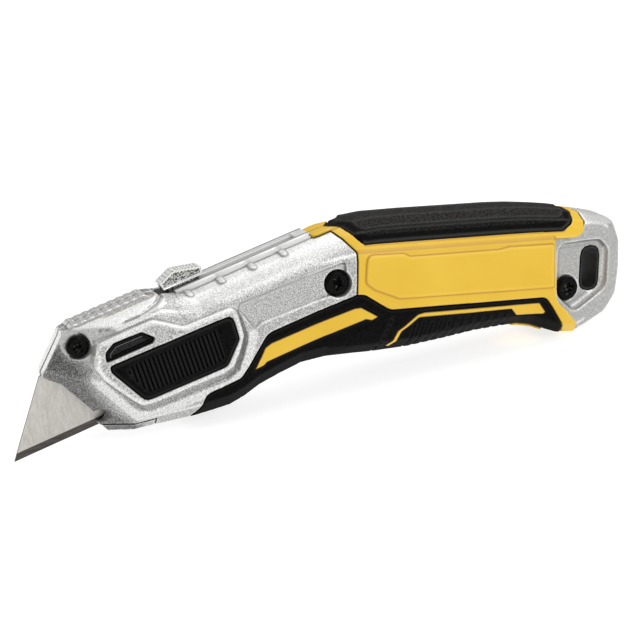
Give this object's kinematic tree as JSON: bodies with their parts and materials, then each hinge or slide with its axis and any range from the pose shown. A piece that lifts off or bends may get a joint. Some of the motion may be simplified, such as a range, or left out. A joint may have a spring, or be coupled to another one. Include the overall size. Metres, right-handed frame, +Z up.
{
  "type": "retractable utility knife",
  "caption": "Retractable utility knife with a cast metal nose, thumb slider, trapezium blade, two-colour gripped handle and a metal butt with a lanyard slot.",
  "frame": {"origin": "under the middle of the knife's bounding box, on the plane that the blade's tip and the butt's heel stand on", "axes": "+X from the nose to the butt, +Y to the knife's right, +Z up towards the thumb slider"},
  "size_m": [0.1816, 0.0262, 0.0463],
  "materials": {
    "cast_metal": "fine-grained die casting",
    "plated_metal": "bright plated",
    "black_plastic": "satin moulding",
    "blade_steel": "ground steel",
    "spring_steel": "plain spring steel",
    "black_rubber": "soft overmoulded rubber",
    "dark_screw": "blackened steel",
    "yellow_shell": "satin yellow moulding"
  },
  "bodies": {
    "knife_body": {"front_shell_left": "cast_metal", "front_shell_right": "cast_metal", "slide_track": "cast_metal", "tail_frame_left": "cast_metal", "tail_frame_right": "cast_metal", "tail_liner": "black_plastic", "release_spring": "spring_steel", "magazine_hinge_pin": "spring_steel", "side_grip_left": "black_rubber", "side_grip_right": "black_rubber", "top_grip": "black_rubber", "lower_grip_left": "black_rubber", "lower_grip_right": "black_rubber", "nose_screw": "dark_screw", "middle_screw": "dark_screw", "tail_screw": "dark_screw", "handle_shell_left": "yellow_shell", "handle_shell_right": "yellow_shell", "front_accent_left": "yellow_shell", "front_accent_right": "yellow_shell", "rear_accent_left": "yellow_shell", "rear_accent_right": "yellow_shell"},
    "blade_carriage": {"blade_carrier": "black_plastic", "blade": "blade_steel", "blade_catch": "spring_steel", "detent_spring": "spring_steel"},
    "slider_button": {"thumb_slider": "plated_metal", "slider_stem": "black_plastic"},
    "release": {"release_button": "black_plastic"},
    "magazine": {"magazine_tray": "black_plastic", "magazine_tab": "yellow_shell", "spare_blade_1": "blade_steel", "spare_blade_2": "blade_steel", "spare_blade_3": "blade_steel"}
  },
  "joints": [
    {"name": "blade_slide", "type": "slide", "parent": "knife_body", "child": "blade_carriage", "axis": [0.981, 0, 0.1942], "range_m": [0, 0.0279]},
    {"name": "slider_press", "type": "slide", "parent": "blade_carriage", "child": "slider_button", "axis": [0.1942, 0, -0.981], "range_m": [0, 0.0005], "stiffness_N_per_m": 800, "springref_m": -0.0002},
    {"name": "release_press", "type": "slide", "parent": "knife_body", "child": "release", "axis": [0, 1, 0], "range_m": [0, 0.002], "stiffness_N_per_m": 300, "springref_m": -0.0005},
    {"name": "magazine_hinge", "type": "hinge", "parent": "knife_body", "child": "magazine", "pos_m": [0.00857, 0, 0.01179], "axis": [0, 1, 0], "range_deg": [0, 30]}
  ]
}
